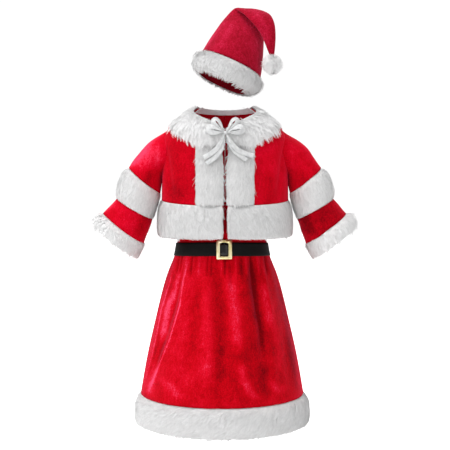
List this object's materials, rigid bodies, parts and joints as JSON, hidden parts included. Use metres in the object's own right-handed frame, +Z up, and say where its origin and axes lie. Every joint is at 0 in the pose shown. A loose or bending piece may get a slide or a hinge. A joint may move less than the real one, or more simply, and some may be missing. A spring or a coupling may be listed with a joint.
{
  "type": "christmas costume dress",
  "caption": "Red plush christmas costume with white fur trim: jacket with a ribbon bow, gathered skirt, black belt with a gold buckle, and a soft hat with a pompom.",
  "frame": {"origin": "centre of the waist at the belt, where the wearer holds the costume", "axes": "+Z up, +X to the right seen from the front, the front faces -Y"},
  "size_m": [0.6338, 0.3552, 0.9959],
  "materials": {
    "jacket_plush": "short plush pile with a soft sheen",
    "skirt_plush": "short plush pile with a soft sheen",
    "hat_plush": "short plush pile, a little darker",
    "fur": "long soft fake fur",
    "neck_rib": "ribbed tape",
    "ribbon": "satin ribbon",
    "belt_black": "matte coated strap",
    "buckle_gold": "pale polished metal"
  },
  "bodies": {
    "root": {"jacket_front_left": "jacket_plush", "jacket_front_right": "jacket_plush", "jacket_back_left": "jacket_plush", "jacket_back_right": "jacket_plush", "front_band_left": "fur", "front_band_right": "fur", "jacket_hem_band": "fur", "collar": "fur", "neck_tape": "neck_rib", "sleeve_upper_left": "jacket_plush", "sleeve_upper_right": "jacket_plush", "sleeve_band_left": "fur", "sleeve_band_right": "fur", "sleeve_lower_left": "jacket_plush", "sleeve_lower_right": "jacket_plush", "cuff_left": "fur", "cuff_right": "fur", "bow_knot": "ribbon", "bow_loop_upper_left": "ribbon", "bow_loop_upper_right": "ribbon", "bow_loop_lower_left": "ribbon", "bow_loop_lower_right": "ribbon", "bow_tail_left_outer": "ribbon", "bow_tail_left_inner": "ribbon", "bow_tail_right_inner": "ribbon", "bow_tail_right_outer": "ribbon", "skirt_front": "skirt_plush", "skirt_back": "skirt_plush", "waist_heading": "skirt_plush", "skirt_hem_band": "fur", "belt_strap": "belt_black", "belt_pass": "belt_black", "buckle_frame": "buckle_gold", "buckle_bar": "buckle_gold", "hat_cone": "hat_plush", "hat_band": "fur", "pompom": "fur"}
  },
  "joints": []
}
